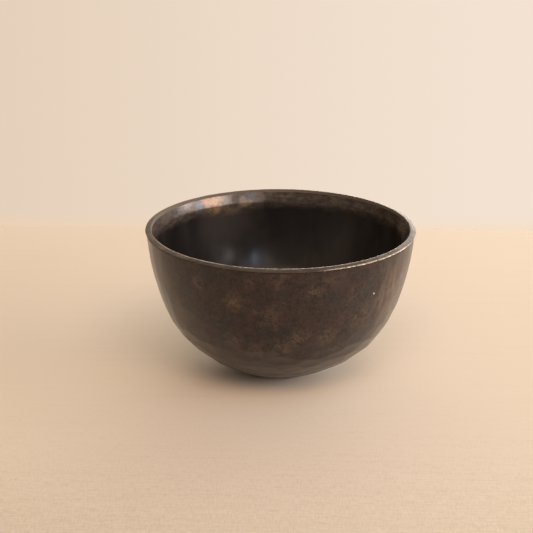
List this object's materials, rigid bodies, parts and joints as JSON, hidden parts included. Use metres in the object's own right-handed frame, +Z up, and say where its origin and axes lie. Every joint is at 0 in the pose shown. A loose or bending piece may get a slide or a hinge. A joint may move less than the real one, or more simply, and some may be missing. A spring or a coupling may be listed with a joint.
{
  "type": "bowl",
  "caption": "Deep round hammered copper bowl with a small flat base, a full belly and a stout rounded rim; holds food or small things.",
  "frame": {"origin": "centre of the flat base, on the surface the bowl rests on", "axes": "+Z up along the bowl's axis; -Y is the front, from which the butt joint of the rim hoop lies 8 degrees round towards +X"},
  "size_m": [0.14, 0.14, 0.0785],
  "materials": {
    "patinated_copper": "hammered copper with a dark brown-black patina, waxed satin outside and glossy inside",
    "worn_rim_copper": "dressed round, patina rubbed through to bright metal along the edges",
    "braze_metal": "dull dark braze with coppery specks"
  },
  "bodies": {
    "root": {"bowl_body": "patinated_copper", "rim_hoop": "worn_rim_copper", "rim_braze": "braze_metal"}
  },
  "joints": []
}
